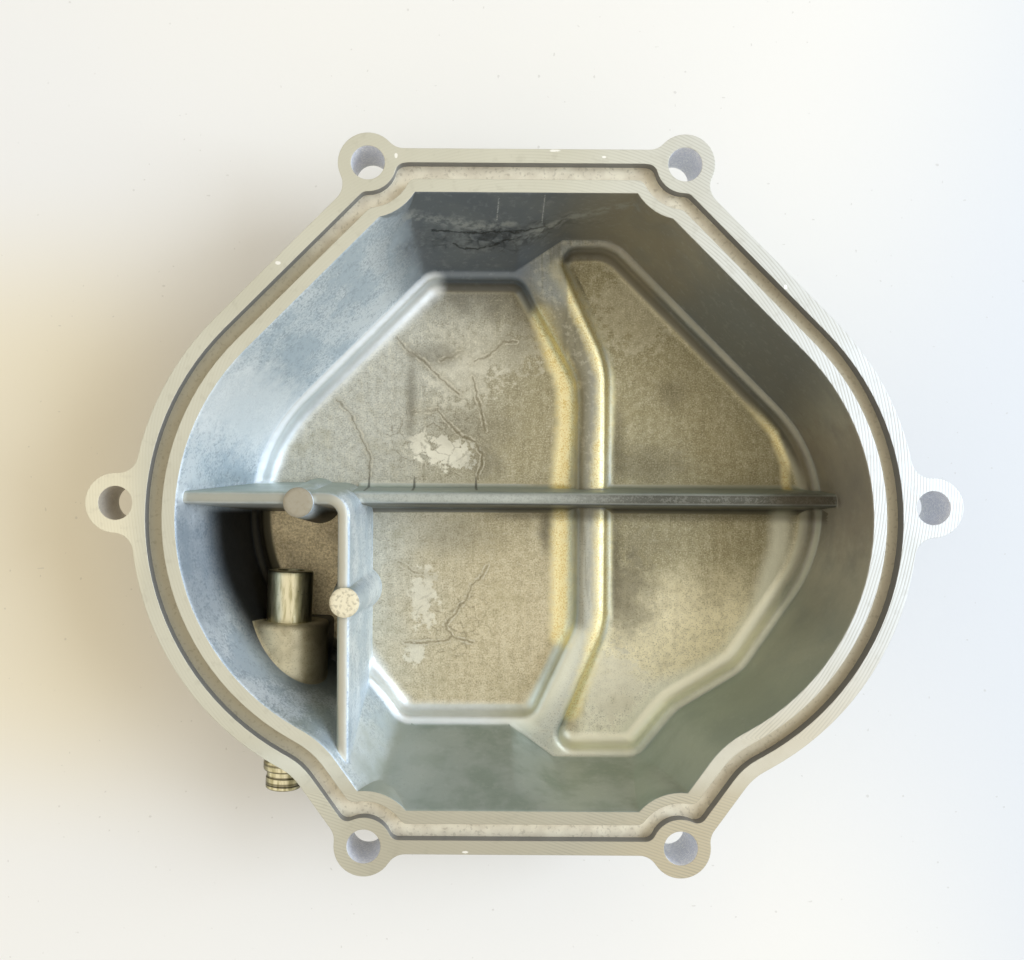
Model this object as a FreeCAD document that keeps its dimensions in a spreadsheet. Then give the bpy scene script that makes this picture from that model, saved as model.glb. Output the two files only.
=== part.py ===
import FreeCAD, Part

import math
import os

from FreeCAD import Vector

# Breather cover of a small engine case: one die-cast aluminium cover with a steel breather tube pressed into it.
# Frame: the origin is the middle of the bolt pattern on the machined joint face, the case side is +Z,
# so the whole cover hangs below Z = 0. Lengths are millimetres, angles degrees.

SIZES = [
    ("corner_hole_x", 31.75, "half the distance between the corner bolts across the cover"),
    ("corner_hole_y", 68.4, "half the distance between the corner bolts along the cover"),
    ("side_hole_x", 81.85, "distance of each side bolt from the middle"),
    ("bolt_hole_dia", 6.8, "clearance hole for an M6 bolt"),
    ("ear_radius", 6.0, "round end of each bolt ear"),
    ("ear_neck_radius", 4.0, "hollow between an ear and the flange edge"),
    ("ear_length", 12.5, "length of the bolt hole through an ear"),
    ("flange_thickness", 8.5, "flange between the ears"),
    ("inner_land", 2.6, "joint face inside the seal groove"),
    ("groove_width", 3.3, "seal groove"),
    ("groove_depth", 2.6, "seal groove"),
    ("outer_land", 2.8, "joint face outside the seal groove"),
    ("groove_hole_wall", 2.35, "metal between a corner bolt hole and the groove"),
    ("groove_turn_radius", 2.0, "turns of the groove round the corner bolts"),
    ("mouth_top", 62.6, "straight upper edge of the cavity mouth"),
    ("mouth_bottom", 61.2, "straight lower edge of the cavity mouth"),
    ("mouth_bottom_half", 30.3, "half width of the lower edge"),
    ("mouth_side_x", 22.4, "centre of each large side arc"),
    ("mouth_side_y", 2.9, "side arc centres below the middle"),
    ("mouth_side_radius", 47.7, "large side arcs of the mouth"),
    ("mouth_corner_radius", 3.0, "corners of the mouth"),
    ("mouth_hollow_radius", 20.0, "hollow of the mouth above each lower ear"),
    ("column_radius", 11.1, "bolt column that stands into the mouth at each corner"),
    ("column_draft", 0.4, "draft of the bolt columns"),
    ("ledge_depth", 29.0, "ledge round the two floor panels"),
    ("panel_step", 5.0, "step from the ledge down to a floor panel"),
    ("ledge_width", 1.6, "ledge between the wall and a panel"),
    ("left_inset", 9.6, "how far the left wall slopes in from mouth to ledge"),
    ("left_bottom_inset", 10.8, "the same at the lower wall"),
    ("left_corner_radius", 5.5, "corners of the ledge on the left"),
    ("panel_foot_radius", 3.0, "hollow at the foot of a panel's step"),
    ("panel_edge_radius", 1.4, "rounding at the top of a panel's step"),
    ("panel_edge_flat", 0.1, "flat of the ledge beside that rounding"),
    ("wall", 3.5, "cast wall"),
    ("plateau_margin", 1.4, "raised outer face beyond the ledge"),
    ("plateau_round", 2.2, "rounding of the raised outer faces"),
    ("channel_depth", 3.0, "outer channel behind the inner ridge"),
    ("channel_margin", 0.9, "ridge metal beside the outer channel"),
    ("rib_top", 19.4, "crest of the low cross rib, below the joint face"),
    ("rib_crest", 2.8, "width of the low rib at its crest"),
    ("rib_y", 1.2, "centre line of the cross rib"),
    ("rib_draft", 4.0, "draft of the ribs"),
    ("rib_foot", 1.8, "hollow at the foot of the low rib"),
    ("rib_round", 1.1, "rounding of the low rib's crest"),
    ("seat", 0.6, "depth to which ribs and bosses run into the floor or wall"),
    ("baffle_top", 2.6, "top of the breather baffle, below the joint face"),
    ("baffle_wall", 2.4, "thickness of the baffle at its top"),
    ("baffle_x", 36.4, "centre line of the baffle's long leg, left of the middle"),
    ("baffle_turn", 4.8, "outer turn of the baffle"),
    ("baffle_round", 0.8, "rounding of the baffle's top"),
    ("pad_radius", 3.05, "ejector pads on the baffle"),
    ("pad_proud", 0.6, "how far the pads stand above the baffle"),
    ("pad_y", 0.3, "ejector pad on the cross leg, above the middle"),
    ("pad_one_x", 45.6, "ejector pad on the cross leg, left of the middle"),
    ("pad_two_y", 19.9, "ejector pad on the long leg, below the middle"),
    ("spigot_x", 50.15, "inner end of the breather tube, left of the middle"),
    ("spigot_y", 15.0, "inner end of the breather tube, below the middle"),
    ("spigot_depth", 22.0, "axis of the breather tube, below the joint face"),
    ("spigot_yaw", 1.7, "the tube leans outwards by this angle"),
    ("spigot_length", 48.2, "breather tube from end to end"),
    ("spigot_dia", 10.0, "inner part of the tube, pressed into the cover"),
    ("spigot_outer", 14.7, "length of the thin outer part with the bead"),
    ("spigot_bore", 6.0, "bore of the tube"),
    ("neck_dia", 7.4, "tube outside the cover"),
    ("bead_dia", 9.0, "hose bead"),
    ("bead_reach", 6.4, "hose bead from the outer end"),
    ("bead_length", 2.5, "hose bead"),
    ("tip_dia", 7.8, "end ring"),
    ("tip_length", 2.7, "end ring"),
    ("boss_start", 11.2, "shoulder of the tube boss from the tube's inner end"),
    ("boss_radius", 8.6, "tube boss inside the chamber"),
    ("outer_boss_radius", 7.6, "tube boss outside the wall"),
    ("boss_round", 1.2, "rounding of the boss ends"),
    ("outer_boss_start", 14.0, "root of the outer tube boss from the tube's inner end"),
    ("outer_boss_gap", 1.0, "thick part of the tube that shows beyond the outer boss"),
    ("press_gap", 0.02, "gap left between tube and bore"),
]

# Corners of the right half of the ledge, clockwise from the top: x, y and radius.
LEDGE_RIGHT = [
    (22.3, 60.4, 9.0),
    (80.2, 2.5, 34.0),
    (52.2, -38.0, 12.0),
    (37.0, -47.3, 12.0),
    (28.5, -57.8, 5.2),
]
# The two sides of the ridge between the panels, downwards: x, y and radius.
# Their ends are moved along Y onto the edges of the panels.
RIDGE_LEFT = [(1.0, 51.4, 3.6), (14.15, 28.0, 12.0), (14.15, -27.5, 12.0), (4.2, -48.8, 3.6)]
RIDGE_RIGHT = [(8.6, 58.8, 3.6), (20.7, 32.5, 22.0), (20.7, -28.5, 20.0), (8.4, -56.2, 3.6)]
# Where the deep left wall turns into the steep right wall, as x of the left and the right corner of the turn.
TURN_MOUTH_TOP = (-0.6, 10.4)
TURN_LEDGE_TOP = (-0.6, 10.4)
TURN_MOUTH_BOTTOM = (-1.2, 9.0)
TURN_LEDGE_BOTTOM = (-1.2, 9.0)
# Depth to which the tube boss reaches along the tube.
BOSS_END = "Sizes.spigot_length - Sizes.spigot_outer - Sizes.outer_boss_gap"
# Angles on the side arcs: the upper tangent, the split of the arc and its lower end.
ARC_TOP, ARC_SPLIT, ARC_END = 45.0, -30.0, -61.0
LOWER_EDGE_ANGLE = 54.0


def make_sheet(doc):
    """Writes the sizes into the document's spreadsheet and returns them by name."""
    sheet = doc.addObject("Spreadsheet::Sheet", "Sizes")
    for row, (name, value, note) in enumerate(SIZES, start=1):
        sheet.set("A%d" % row, name)
        sheet.set("B%d" % row, str(value))
        sheet.set("C%d" % row, note)
        sheet.setAlias("B%d" % row, name)
    doc.recompute()
    return {name: float(sheet.get(name)) for name, _, _ in SIZES}


def line_meeting(p, u, q, v):
    """Point where the line through p along u meets the line through q along v."""
    cross = u[0] * v[1] - u[1] * v[0]
    t = ((q[0] - p[0]) * v[1] - (q[1] - p[1]) * v[0]) / cross
    return p[0] + t * u[0], p[1] + t * u[1]


def arc_corner(centre, radius, start, end):
    """Corner whose rounding is the arc between two angles, in degrees."""
    middle = math.radians((start + end) / 2)
    reach = radius / math.cos(math.radians(abs(end - start) / 2))
    return centre[0] + reach * math.cos(middle), centre[1] + reach * math.sin(middle), radius


def mirrored(corners):
    """The same corners on the left, in the order that keeps the outline running clockwise."""
    return [(-x, y, r) for x, y, r in reversed(corners)]


def grown(corners, distances, least=0.1):
    """Clockwise outline with its sides moved outwards, each by its own distance or all by one."""
    count = len(corners)
    if not isinstance(distances, list):
        distances = [distances] * count
    sides = []
    for i in range(count):
        ax, ay, _ = corners[i]
        bx, by, _ = corners[(i + 1) % count]
        length = math.hypot(bx - ax, by - ay)
        ux, uy = (bx - ax) / length, (by - ay) / length
        sides.append(((ax - uy * distances[i], ay + ux * distances[i]), (ux, uy)))
    moved = []
    for i in range(count):
        (p, u), (q, v) = sides[i - 1], sides[i]
        turn = u[0] * v[1] - u[1] * v[0]
        x, y = q if abs(turn) < 1e-6 else line_meeting(p, u, q, v)
        radius = corners[i][2]
        if radius > 0:
            shift = (distances[i - 1] + distances[i]) / 2
            radius = max(radius + (shift if turn < 0 else -shift), least)
        moved.append((x, y, radius))
    return moved


def fitted(corners):
    """Outline whose roundings are reduced where two neighbours need more than the side between them."""
    count = len(corners)
    reaches = []
    for i in range(count):
        x, y, radius = corners[i]
        px, py, _ = corners[i - 1]
        nx, ny, _ = corners[(i + 1) % count]
        half = Vector(px - x, py - y, 0).getAngle(Vector(nx - x, ny - y, 0)) / 2
        reaches.append(radius / math.tan(half))
    shares = [1.0] * count
    for i in range(count):
        j = (i + 1) % count
        room = math.hypot(corners[j][0] - corners[i][0], corners[j][1] - corners[i][1])
        if reaches[i] + reaches[j] > room + 1e-4:
            share = 0.98 * room / (reaches[i] + reaches[j])
            shares[i] = min(shares[i], share)
            shares[j] = min(shares[j], share)
    return [(x, y, radius * share) for (x, y, radius), share in zip(corners, shares)]


def outline_edges(corners):
    """Lines and arcs of a closed outline given by corners with a radius each."""
    corners = fitted(corners)
    count = len(corners)
    ends = []
    for i in range(count):
        x, y, radius = corners[i]
        px, py, _ = corners[i - 1]
        nx, ny, _ = corners[(i + 1) % count]
        corner = Vector(x, y, 0)
        if radius <= 0:
            ends.append((corner, None, corner))
            continue
        back = Vector(px - x, py - y, 0).normalize()
        on = Vector(nx - x, ny - y, 0).normalize()
        half = back.getAngle(on) / 2
        reach = radius / math.tan(half)
        middle = corner + (back + on).normalize() * (radius / math.sin(half) - radius)
        ends.append((corner + back * reach, middle, corner + on * reach))
    edges = []
    for i in range(count):
        start, middle, end = ends[i]
        if middle is not None:
            edges.append(Part.Arc(start, middle, end))
        following = ends[(i + 1) % count][0]
        if end.distanceToPoint(following) > 1e-6:
            edges.append(Part.LineSegment(end, following))
    return edges


def outline_sketch(doc, name, corners, depth=None):
    """Sketch of a closed outline, at a depth below the joint face that is an expression of the sheet."""
    sketch = doc.addObject("Sketcher::SketchObject", name)
    sketch.addGeometry(outline_edges(corners), False)
    if depth is not None:
        sketch.setExpression("Placement.Base.z", "-(%s)" % depth)
    return sketch


def prism(doc, name, sketch, length, direction=Vector(0, 0, -1)):
    """Straight body from a sketch; its length is an expression of the sheet."""
    body = doc.addObject("Part::Extrusion", name)
    body.Base = sketch
    body.DirMode = "Custom"
    body.Dir = direction
    body.Solid = True
    body.setExpression("LengthFwd", length)
    return body


def loft(doc, name, sketches):
    """Body with straight flanks through the sketches."""
    body = doc.addObject("Part::Loft", name)
    body.Sections = sketches
    body.Solid = True
    body.Ruled = True
    return body


def fuse(doc, name, shapes):
    """All the shapes as one."""
    body = doc.addObject("Part::MultiFuse", name)
    body.Shapes = shapes
    return body


def cut(doc, name, base, tool):
    """The base without the tool."""
    body = doc.addObject("Part::Cut", name)
    body.Base = base
    body.Tool = tool
    return body


def common(doc, name, shapes):
    """What the shapes share."""
    body = doc.addObject("Part::MultiCommon", name)
    body.Shapes = shapes
    return body


def cylinder(doc, name, radius, height, x, y, top):
    """Upright cylinder that hangs below top; the sizes are expressions of the sheet."""
    body = doc.addObject("Part::Cylinder", name)
    body.setExpression("Radius", radius)
    body.setExpression("Height", height)
    body.setExpression("Placement.Base.x", x)
    body.setExpression("Placement.Base.y", y)
    body.setExpression("Placement.Base.z", "(%s) - (%s)" % (top, height))
    return body


def drafted_post(doc, name, radius, draft, x, y, top, foot):
    """Upright post that widens downwards by the draft; top and foot are depths below the joint face."""
    body = doc.addObject("Part::Cone", name)
    height = "((%s) - (%s))" % (foot, top)
    body.setExpression("Radius2", radius)
    body.setExpression("Radius1", "%s + tan(%s * 1deg) * %s" % (radius, draft, height))
    body.setExpression("Height", height)
    body.setExpression("Placement.Base.x", x)
    body.setExpression("Placement.Base.y", y)
    body.setExpression("Placement.Base.z", "-(%s)" % foot)
    return body


def rounded_edges(doc, name, base, radius, chosen):
    """Fillet of the edges of base that chosen accepts."""
    doc.recompute()
    body = doc.addObject("Part::Fillet", name)
    body.Base = base
    picked = [i for i, edge in enumerate(base.Shape.Edges, start=1) if chosen(edge)]
    body.Edges = [(i, radius, radius) for i in picked]
    return body


def at_height(edge, z):
    """True for an edge that lies flat at height z."""
    box = edge.BoundBox
    return abs(box.ZMin - z) < 1e-4 and abs(box.ZMax - z) < 1e-4


def upright_near(edge, centres, radius):
    """True for an upright straight edge at the given distance from one of the centres."""
    box = edge.BoundBox
    if box.XLength > 1e-4 or box.YLength > 1e-4:
        return False
    return any(abs(math.hypot(box.XMin - x, box.YMin - y) - radius) < 1e-3 for x, y in centres)


def mouth_corners(s):
    """Right half of the cavity mouth at the joint face, clockwise from the top."""
    side = (s["mouth_side_x"], -s["mouth_side_y"])
    radius = s["mouth_side_radius"]
    top_x = side[0] + side[1] + radius * math.sqrt(2) - s["mouth_top"]
    low = math.radians(ARC_END)
    low_point = (side[0] + radius * math.cos(low), side[1] + radius * math.sin(low))
    foot = (s["mouth_bottom_half"], -s["mouth_bottom"])
    slope = math.radians(LOWER_EDGE_ANGLE)
    hollow = line_meeting(low_point, (math.sin(low), -math.cos(low)), foot, (math.cos(slope), math.sin(slope)))
    return [
        (top_x, s["mouth_top"], s["mouth_corner_radius"]),
        arc_corner(side, radius, ARC_TOP, ARC_SPLIT + 0.5),
        arc_corner(side, radius, ARC_SPLIT - 0.5, ARC_END),
        (hollow[0], hollow[1], s["mouth_hollow_radius"]),
        (foot[0], foot[1], s["mouth_corner_radius"]),
    ]


def with_turns(right, left, top, bottom, radius=0.0):
    """Whole outline from its right and left corners and the turns between them, each turn as its two x."""
    upper = [(top[0], left[-1][1], radius), (top[1], right[0][1], radius)]
    lower = [(bottom[1], right[-1][1], radius), (bottom[0], left[0][1], radius)]
    return upper + right + lower + left


def left_ledge(s):
    """Left half of the ledge: the mouth moved in by the slope of the left wall."""
    right = mouth_corners(s)
    plain = right + mirrored(right)
    insets = [-s["left_inset"]] * len(plain)
    insets[len(right) - 1] = -s["left_bottom_inset"]
    return grown(plain, insets, s["left_corner_radius"])[len(right):]


def build_flange(doc, s, plain, holes):
    """Flange plate with its six ears, and the longer bolt posts of the ears."""
    reach = s["inner_land"] + s["groove_width"] + s["outer_land"]
    edge = grown(plain, reach)
    last = len(plain) - 1
    half = last // 2
    for i in (0, half, half + 1, last):
        edge[i] = (edge[i][0], edge[i][1], s["mouth_corner_radius"] / 2)
    plate = prism(doc, "FlangePlate", outline_sketch(doc, "FlangeOutline", edge), "Sizes.flange_thickness")
    ears = []
    posts = []
    for number, (x, y) in enumerate(holes, start=1):
        place = (str(x), str(y), "0")
        ears.append(cylinder(doc, "Ear%d" % number, "Sizes.ear_radius", "Sizes.flange_thickness", *place))
        posts.append(cylinder(doc, "EarPost%d" % number, "Sizes.ear_radius", "Sizes.ear_length", *place))
    whole = fuse(doc, "FlangeWithEars", [plate] + ears)
    necks = rounded_edges(
        doc, "Flange", whole, s["ear_neck_radius"], lambda edge: upright_near(edge, holes, s["ear_radius"])
    )
    return [necks] + posts


def panel_outlines(s, ledge):
    """Outlines of the left and the right floor panel, each with the places of its sides along the ridge."""
    inner = grown(ledge, -s["ledge_width"])
    half = len(LEDGE_RIGHT)
    right = inner[2: 2 + half]
    left = inner[4 + half:]
    left = between(RIDGE_LEFT, left[-1][1], left[0][1]) + left
    right = right + list(reversed(between(RIDGE_RIGHT, right[0][1], right[-1][1])))
    return (left, (0, 1, 2)), (right, (half, half + 1, half + 2))


def between(side, top, bottom):
    """A side of the ridge with its ends at the given heights."""
    return [(side[0][0], top, side[0][2])] + side[1:-1] + [(side[-1][0], bottom, side[-1][2])]


def build_shell(doc, s, mouth, ledge, panels):
    """Outer form: the tapering shell with a raised face behind each floor panel."""
    outer = loft(doc, "ShellOutside", [
        outline_sketch(doc, "ShellTop", grown(mouth, s["wall"])),
        outline_sketch(doc, "ShellFoot", grown(ledge, s["wall"]), "Sizes.ledge_depth + Sizes.wall"),
    ])
    base = prism(doc, "PlateauBase",
                 outline_sketch(doc, "PlateauBaseOutline", grown(ledge, s["plateau_margin"]), "Sizes.ledge_depth"),
                 "Sizes.panel_step + Sizes.wall - Sizes.channel_depth")
    depth = s["ledge_depth"] + s["panel_step"] + s["wall"]
    faces = []
    for name, (corners, ridge) in zip(("Left", "Right"), panels):
        beyond = s["ledge_width"] + s["plateau_margin"]
        margins = [s["channel_margin"] if i in ridge else beyond for i in range(len(corners))]
        block = prism(doc, name + "PlateauBlock",
                      outline_sketch(doc, name + "PlateauOutline", grown(corners, margins), "Sizes.ledge_depth"),
                      "Sizes.panel_step + Sizes.wall")
        faces.append(rounded_edges(doc, name + "Plateau", block, s["plateau_round"],
                                   lambda edge: at_height(edge, -depth)))
    return [outer, base] + faces


def build_cavity(doc, s, mouth, ledge, panels, holes):
    """The hollow: the tapering cavity less the bolt columns, and the two recessed floor panels."""
    hollow = loft(doc, "CavityTaper", [
        outline_sketch(doc, "MouthOutline", mouth),
        outline_sketch(doc, "LedgeOutline", ledge, "Sizes.ledge_depth"),
    ])
    columns = [
        drafted_post(doc, "BoltColumn%d" % number, "Sizes.column_radius", "Sizes.column_draft",
                     str(x), str(y), "0", "Sizes.ledge_depth")
        for number, (x, y) in enumerate(holes[:4], start=1)
    ]
    cavity = cut(doc, "Cavity", hollow, fuse(doc, "BoltColumns", columns))
    pockets = [panel_tool(doc, s, name, corners) for name, (corners, _) in zip(("Left", "Right"), panels)]
    return [cavity] + pockets


def panel_tool(doc, s, name, corners):
    """Recess of one floor panel: a shallow pocket with a hollow foot and a rounded upper edge."""
    above = s["panel_edge_radius"] / 2
    flare = s["panel_edge_radius"] + s["panel_edge_flat"]
    start = "Sizes.ledge_depth - Sizes.panel_edge_radius / 2"
    pocket = prism(doc, name + "PanelBlock", outline_sketch(doc, name + "PanelOutline", corners, start),
                   "Sizes.panel_step + Sizes.panel_edge_radius / 2")
    rim = prism(doc, name + "PanelRimBlock", outline_sketch(doc, name + "PanelRim", grown(corners, flare), start),
                "Sizes.panel_edge_radius / 2")
    floor = -s["ledge_depth"] - s["panel_step"]
    footed = rounded_edges(doc, name + "PanelFoot", pocket, s["panel_foot_radius"],
                           lambda edge: at_height(edge, floor))
    whole = fuse(doc, name + "PanelPocket", [footed, rim])
    doc.recompute()
    ledge = -s["ledge_depth"]

    def inner_edge(edge):
        if not at_height(edge, ledge):
            return False
        faces = whole.Shape.ancestorsOfType(edge, Part.Face)
        return any(face.BoundBox.ZMin < ledge - above for face in faces)

    return rounded_edges(doc, name + "Panel", whole, s["panel_edge_radius"], inner_edge)


def build_ribs(doc, s):
    """Low cross rib, high breather baffle with its turn, and the two ejector posts."""
    floor = s["ledge_depth"] + s["panel_step"]
    lean = math.tan(math.radians(s["rib_draft"]))
    foot = s["rib_crest"] / 2 + lean * (floor - s["rib_top"])
    skirt = foot + 1.2 * s["rib_foot"]
    side = [
        (skirt, -floor - s["seat"], 0), (skirt, -floor, 0),
        (foot, -floor, s["rib_foot"]), (s["rib_crest"] / 2, -s["rib_top"], s["rib_round"]),
    ]
    profile = [(-x, y, r) for x, y, r in side] + list(reversed(side))
    section = outline_sketch(doc, "RibSection", profile)
    section.Placement = FreeCAD.Placement(
        Vector(-s["baffle_x"], s["rib_y"], 0), FreeCAD.Rotation(Vector(1, 1, 1), 120)
    )
    rib = prism(doc, "LowRib", section, "Sizes.baffle_x + Sizes.mouth_side_x + Sizes.mouth_side_radius",
                Vector(1, 0, 0))

    half = s["baffle_wall"] / 2
    far_x = -s["mouth_side_x"] - s["mouth_side_radius"] - s["wall"]
    far_y = -s["mouth_bottom"]
    top = [
        (far_x, s["rib_y"] + half, 0),
        (-s["baffle_x"] + half, s["rib_y"] + half, s["baffle_turn"]),
        (-s["baffle_x"] + half, far_y, 0),
        (-s["baffle_x"] - half, far_y, 0),
        (-s["baffle_x"] - half, s["rib_y"] - half, s["baffle_turn"] - s["baffle_wall"]),
        (far_x, s["rib_y"] - half, 0),
    ]
    spread = lean * (floor + s["seat"] - s["baffle_top"])
    wall = loft(doc, "BaffleWall", [
        outline_sketch(doc, "BaffleTop", top, "Sizes.baffle_top"),
        outline_sketch(doc, "BaffleFoot", grown(top, spread), "Sizes.ledge_depth + Sizes.panel_step + Sizes.seat"),
    ])
    baffle = rounded_edges(doc, "Baffle", wall, s["baffle_round"], lambda edge: at_height(edge, -s["baffle_top"]))
    pad_top = "Sizes.baffle_top - Sizes.pad_proud"
    pad_foot = "Sizes.ledge_depth + Sizes.panel_step + Sizes.seat"
    posts = [
        drafted_post(doc, "EjectorPost1", "Sizes.pad_radius", "Sizes.rib_draft",
                     "-Sizes.pad_one_x", "Sizes.pad_y", pad_top, pad_foot),
        drafted_post(doc, "EjectorPost2", "Sizes.pad_radius", "Sizes.rib_draft",
                     "-Sizes.baffle_x + Sizes.pad_y", "-Sizes.pad_two_y", pad_top, pad_foot),
    ]
    return [rib, baffle] + posts


def spigot_place(s, along=0.0):
    """Place on the breather tube's axis: local Z runs outwards, local Y is up."""
    yaw = math.radians(s["spigot_yaw"])
    out = Vector(-math.sin(yaw), -math.cos(yaw), 0)
    up = Vector(0, 0, 1)
    start = Vector(-s["spigot_x"], -s["spigot_y"], -s["spigot_depth"])
    return FreeCAD.Placement(start + out * along, FreeCAD.Rotation(up.cross(out), up, out, "ZYX"))


def build_tube_boss(doc, s):
    """Inner boss of the breather tube, standing on the floor, and its round outer end."""
    sink = s["ledge_depth"] + s["panel_step"] + s["seat"] - s["spigot_depth"]
    radius = s["boss_radius"]
    section = outline_sketch(doc, "BossSection", [
        (-radius, -sink, 0), (-radius, radius, radius - 0.05), (radius, radius, radius - 0.05), (radius, -sink, 0),
    ])
    section.Placement = spigot_place(s, s["boss_start"])
    out = section.Placement.Rotation.multVec(Vector(0, 0, 1))
    block = prism(doc, "BossBlock", section, BOSS_END + " - Sizes.boss_start", out)
    start = section.Placement.Base

    def shoulder(edge):
        box = edge.BoundBox
        middle = edge.valueAt((edge.FirstParameter + edge.LastParameter) / 2)
        return abs((middle - start).dot(out)) < 1e-4 and box.ZMax > -s["spigot_depth"] + 1e-3

    inner = rounded_edges(doc, "BossInside", block, s["boss_round"], shoulder)
    outer = doc.addObject("Part::Cylinder", "BossOutsideBlock")
    outer.setExpression("Radius", "Sizes.outer_boss_radius")
    outer.setExpression("Height", BOSS_END + " - Sizes.outer_boss_start")
    outer.Placement = spigot_place(s, s["outer_boss_start"])
    tip = spigot_place(s, s["spigot_length"] - s["spigot_outer"] - s["outer_boss_gap"]).Base
    end = rounded_edges(
        doc, "BossOutside", outer, s["boss_round"],
        lambda edge: len(edge.Vertexes) == 1 and abs((edge.CenterOfMass - tip).dot(out)) < 1e-4,
    )
    return inner, end


def build_groove(doc, s, plain, holes):
    """Seal groove: it follows the mouth and passes inside the corner bolts."""
    wall = s["bolt_hole_dia"] / 2 + s["groove_hole_wall"]
    rims = []
    for name, reach, clear in (
        ("Outer", s["inner_land"] + s["groove_width"], wall),
        ("Inner", s["inner_land"], wall + s["groove_width"]),
    ):
        block = prism(doc, "Groove%sBlock" % name,
                      outline_sketch(doc, "Groove%sOutline" % name, grown(plain, reach)), "Sizes.groove_depth")
        rounds = []
        for number, (x, y) in enumerate(holes[:4], start=1):
            rounds.append(cylinder(doc, "Groove%sRound%d" % (name, number), str(clear), "Sizes.groove_depth",
                                   str(x), str(y), "0"))
        cleared = cut(doc, "Groove%sCleared" % name, block, fuse(doc, "Groove%sRounds" % name, rounds))
        rims.append(rounded_edges(
            doc, "Groove%s" % name, cleared, s["groove_turn_radius"],
            lambda edge, clear=clear: upright_near(edge, holes[:4], clear),
        ))
    return cut(doc, "SealGroove", rims[0], rims[1])


def build_cover(doc, s):
    """The casting: flange, tapering shell, panels, ribs, baffle and bosses in one piece."""
    holes = [(x * s["corner_hole_x"], y * s["corner_hole_y"]) for x, y in ((1, 1), (1, -1), (-1, -1), (-1, 1))]
    holes += [(s["side_hole_x"], 0.0), (-s["side_hole_x"], 0.0)]
    right = mouth_corners(s)
    plain = right + mirrored(right)
    left = left_ledge(s)
    mouth = with_turns(right, mirrored(right), TURN_MOUTH_TOP, TURN_MOUTH_BOTTOM)
    ledge = with_turns(LEDGE_RIGHT, left, TURN_LEDGE_TOP, TURN_LEDGE_BOTTOM)
    panels = panel_outlines(s, ledge)

    flange = build_flange(doc, s, plain, holes)
    shell = build_shell(doc, s, mouth, ledge, panels)
    boss_inside, boss_outside = build_tube_boss(doc, s)
    outside = fuse(doc, "CoverOutside", flange + shell + [boss_outside])
    hollow = cut(doc, "CoverHollow", outside, fuse(doc, "Hollow", build_cavity(doc, s, mouth, ledge, panels, holes)))
    inside = common(doc, "RibsInside", [fuse(doc, "Ribs", build_ribs(doc, s) + [boss_inside]),
                                        fuse(doc, "ShellEnvelope", shell)])
    whole = fuse(doc, "CoverRaw", [hollow, inside])

    drills = []
    for number, (x, y) in enumerate(holes, start=1):
        drills.append(cylinder(doc, "BoltHole%d" % number, "Sizes.bolt_hole_dia / 2", "Sizes.ear_length",
                               str(x), str(y), "0"))
    bore = doc.addObject("Part::Cylinder", "TubeBore")
    bore.setExpression("Radius", "Sizes.spigot_dia / 2 + Sizes.press_gap")
    bore.setExpression("Height", BOSS_END)
    bore.Placement = spigot_place(s)
    cuts = fuse(doc, "Machining", [build_groove(doc, s, plain, holes), bore] + drills)
    cover = cut(doc, "Cover", whole, cuts)
    cover.Label = "cover_casting"
    return cover


def build_tube(doc, s):
    """Breather tube: turned steel, with a pressed part, a hose bead and an end ring."""
    body = doc.addObject("PartDesign::Body", "Tube")
    profile = body.newObject("Sketcher::SketchObject", "TubeProfile")
    plane = [f for f in body.Origin.OriginFeatures if f.Role == "YZ_Plane"][0]
    profile.AttachmentSupport = [(plane, "")]
    profile.MapMode = "FlatFace"
    step = s["spigot_length"] - s["spigot_outer"]
    bead_start = s["spigot_length"] - s["bead_reach"]
    bead_end = bead_start + s["bead_length"]
    tip_start = s["spigot_length"] - s["tip_length"]
    bore, pressed, neck = s["spigot_bore"] / 2, s["spigot_dia"] / 2, s["neck_dia"] / 2
    bead, tip = s["bead_dia"] / 2, s["tip_dia"] / 2
    steps = [
        (bore, 0.0, 0), (pressed, 0.0, 0.5), (pressed, step, 0), (neck, step, 0),
        (neck, bead_start, 0), (bead, bead_start, 0.9), (bead, bead_end, 0.9), (neck, bead_end, 0),
        (neck, tip_start, 0), (tip, tip_start, 0.5), (tip, s["spigot_length"], 0.5), (bore, s["spigot_length"], 0),
    ]
    profile.addGeometry(outline_edges(steps), False)
    turned = body.newObject("PartDesign::Revolution", "TubeTurned")
    turned.Profile = profile
    turned.ReferenceAxis = (profile, ["V_Axis"])
    turned.Angle = 360
    body.Placement = spigot_place(s)
    body.Label = "breather_tube"
    return body


def main():
    os.makedirs("parts", exist_ok=True)
    doc = FreeCAD.newDocument("BreatherCover")
    s = make_sheet(doc)
    pieces = [build_cover(doc, s), build_tube(doc, s)]
    doc.recompute()
    for item in doc.Objects:
        if "Invalid" in item.State or "Error" in item.State:
            raise RuntimeError("%s failed: %s" % (item.Name, item.State))
    for piece in pieces:
        if piece.Shape.isNull() or not piece.Shape.isValid():
            raise RuntimeError("%s has no valid shape" % piece.Label)
    for piece in pieces:
        piece.Shape.exportStep(os.path.join("parts", piece.Label + ".step"))
        box = piece.Shape.BoundBox
        print("%s: %d solid, %.0f mm3, %.1f x %.1f x %.1f mm" % (
            piece.Label, len(piece.Shape.Solids), piece.Shape.Volume, box.XLength, box.YLength, box.ZLength))


main()
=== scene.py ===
import math
from functools import reduce

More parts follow.
